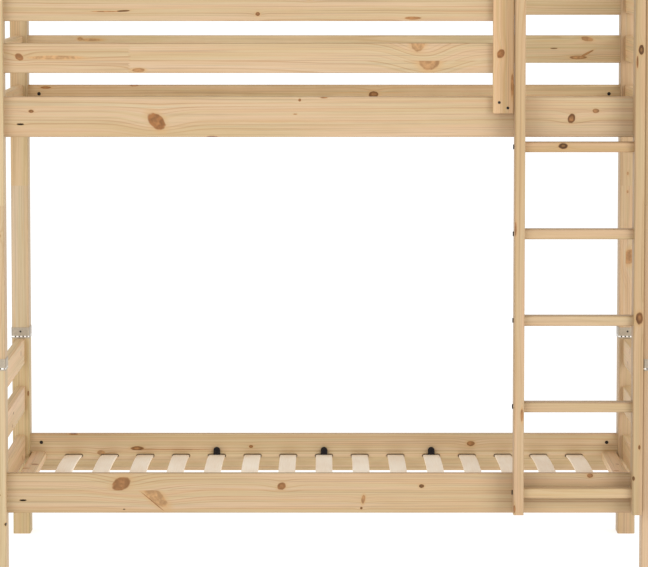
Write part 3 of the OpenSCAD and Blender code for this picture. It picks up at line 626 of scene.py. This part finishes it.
def hem_highlight_dashes(graph, place, colour):
    """A line of dashes painted along a collar's lower hem: the bright dashes are painted highlights where the hem
    catches the light, the dark ones painted shade.
    """
    split = graph.node("ShaderNodeSeparateXYZ")
    graph.feed(split.inputs[0], place)
    height = graph.math("SUBTRACT", split.outputs["Z"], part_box("post_collars")[0].z + 6.5 * MM)
    hem = graph.span(graph.math("ABSOLUTE", height), 2.8 * MM, 1.4 * MM)
    run = graph.math("ADD", split.outputs["X"], split.outputs["Y"])
    dash = graph.math("GREATER_THAN", graph.math("PINGPONG", run, 6.5 * MM), 2.4 * MM)
    # painted highlight and painted shade: near-white and dark dashes laid over the steel in the hem band
    return graph.mix(hem, colour, graph.mix(dash, srgb(62, 54, 48), srgb(250, 248, 244)))


def metal_paint(name, colour, worn, rough, scratch_scale=260.0, metallic=0.85, hem=False):
    """Rolled or turned steel with fine scratches and cloudy plating; on a collar it also paints highlight and shade
    dashes along the hem.
    """
    material, graph, shader = new_material(name)
    place = graph.node("ShaderNodeTexCoord").outputs["Object"]
    split = graph.node("ShaderNodeSeparateXYZ")
    graph.feed(split.inputs[0], place)
    scratch = graph.noise(graph.vector(graph.math("MULTIPLY", split.outputs["X"], 0.15),
                                       graph.math("MULTIPLY", split.outputs["Y"], 0.15),
                                       split.outputs["Z"]), scratch_scale * 10, 3.0)
    cloud = graph.noise(place, scratch_scale, 3.0)
    colour = graph.mix(graph.span(cloud, 0.3, 0.75), colour, worn)
    # a collar gets painted highlight and shade dashes along its hem
    graph.feed(shader.inputs["Base Color"], hem_highlight_dashes(graph, place, colour) if hem else colour)
    graph.feed(shader.inputs["Roughness"], graph.span(scratch, 0.3, 0.7, rough - 0.06, rough + 0.08))
    shader.inputs["Metallic"].default_value = metallic
    bump(graph, shader, scratch, 0.12, 0.1 * MM)
    return material


def plastic_paint():
    material, graph, shader = new_material("clip_plastic")
    place = graph.node("ShaderNodeTexCoord").outputs["Object"]
    grain = graph.noise(place, 2600.0, 2.0)
    graph.feed(shader.inputs["Base Color"], graph.mix(grain, srgb(17, 14, 16), srgb(27, 22, 26)))
    graph.feed(shader.inputs["Roughness"], graph.span(grain, 0.3, 0.7, 0.45, 0.6))
    shader.inputs["Specular IOR Level"].default_value = 0.25
    bump(graph, shader, grain, 0.2, 0.1 * MM)
    return material


def dowel_paint():
    material, graph, shader = new_material("dowel_beech")
    place = graph.node("ShaderNodeTexCoord").outputs["Object"]
    fleck = graph.noise(place, 900.0, 3.0)
    graph.feed(shader.inputs["Base Color"], graph.mix(fleck, srgb(206, 164, 118), srgb(180, 134, 90)))
    graph.feed(shader.inputs["Roughness"], graph.span(fleck, 0.3, 0.7, 0.5, 0.65))
    bump(graph, shader, fleck, 0.2, 0.2 * MM)
    return material


# ---------------------------------------------------------------- pieces

def soften(piece, width, segments=2, angle=40.0):
    """Breaks a CAD piece's sharp edges with a small round, as sanding does."""
    weld = piece.modifiers.new("weld", "WELD")
    weld.merge_threshold = 0.005 * MM
    bevel = piece.modifiers.new("bevel", "BEVEL")
    bevel.width = width
    bevel.segments = segments
    bevel.limit_method = "ANGLE"
    bevel.angle_limit = math.radians(angle)
    bevel.harden_normals = True


def mesh_piece(name, shape, material, body, slot, *replaced):
    mesh = bpy.data.meshes.new(name)
    shape.to_mesh(mesh)
    shape.free()
    piece = bpy.data.objects.new(name, mesh)
    SCENE.collection.objects.link(piece)
    mesh.materials.append(material)
    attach(piece, body)
    if replaced:
        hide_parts(*replaced)
    return piece


SLAT_COUNT = 15
SLAT_WIDTH = 55 * MM
SLAT_THICK = 8 * MM
SLAT_ROUND = 2.4 * MM
SLAT_STEPS = 40


def rounded_outline(width, height, radius, steps=4):
    """Points round a rectangle with round corners, centred on the origin."""
    points = []
    for corner, (x, y) in enumerate(((1, 1), (-1, 1), (-1, -1), (1, -1))):
        centre = (x * (width / 2 - radius), y * (height / 2 - radius))
        for step in range(steps + 1):
            turn = math.radians(90.0 * (corner + step / steps))
            points.append((centre[0] + radius * math.cos(turn), centre[1] + radius * math.sin(turn)))
    return points


def make_slat(bed, index, material):
    low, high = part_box(bed + "_slats")
    pitch = (high.x - low.x - SLAT_WIDTH) / (SLAT_COUNT - 1)
    x = low.x + SLAT_WIDTH / 2 + index * pitch
    crown = high.z - low.z - SLAT_THICK
    length = high.y - low.y
    outline = rounded_outline(SLAT_WIDTH, SLAT_THICK, SLAT_ROUND)
    shape = bmesh.new()
    rings = []
    for step in range(SLAT_STEPS + 1):
        share = step / SLAT_STEPS
        lift = crown * (1 - (2 * share - 1) ** 2)
        rings.append([shape.verts.new((x + px, low.y + share * length, low.z + SLAT_THICK / 2 + lift + pz))
                      for px, pz in outline])
    count = len(outline)
    for first, second in zip(rings, rings[1:]):
        for side in range(count):
            face = shape.faces.new((first[side], second[side], second[(side + 1) % count],
                                    first[(side + 1) % count]))
            face.smooth = True
    shape.faces.new(rings[0])
    shape.faces.new(reversed(rings[-1]))
    bmesh.ops.recalc_face_normals(shape, faces=shape.faces)
    return mesh_piece(f"{bed}_slat_{index + 1}", shape, material, bed + "_bed", "slat_birch", bed + "_slats")


def make_slats():
    material = slat_paint()
    for bed in ("lower", "upper"):
        for index in range(SLAT_COUNT):
            make_slat(bed, index, material)


def paint_fittings():
    collar = metal_paint("collar_steel", srgb(178, 165, 146), srgb(160, 150, 134), 0.46, hem=True)
    zinc = metal_paint("zinc_steel", srgb(186, 184, 180), srgb(168, 166, 164), 0.34)
    dark = metal_paint("dark_steel", srgb(34, 26, 22), srgb(24, 18, 16), 0.5, metallic=0.3)
    paints = {"collar_steel": collar, "zinc_steel": zinc, "dark_steel": dark,
              "clip_plastic": plastic_paint(), "dowel_beech": dowel_paint()}
    for node, slot in SLOTS.items():
        if slot in paints:
            dress(NODES[node], paints[slot])


def soften_boards():
    for node, slot in SLOTS.items():
        if slot == "pine":
            soften(NODES[node], 5.0 * MM if "lower_post" in node else 1.2 * MM)
        elif slot == "clip_plastic":
            soften(NODES[node], 1.2 * MM)


KNOT_GROUP = make_knot_group()
PINE_GROUP = make_pine_group()
make_camera()
make_floor()
make_light()
paint_pine_boards()
paint_fittings()
make_slats()
soften_boards()
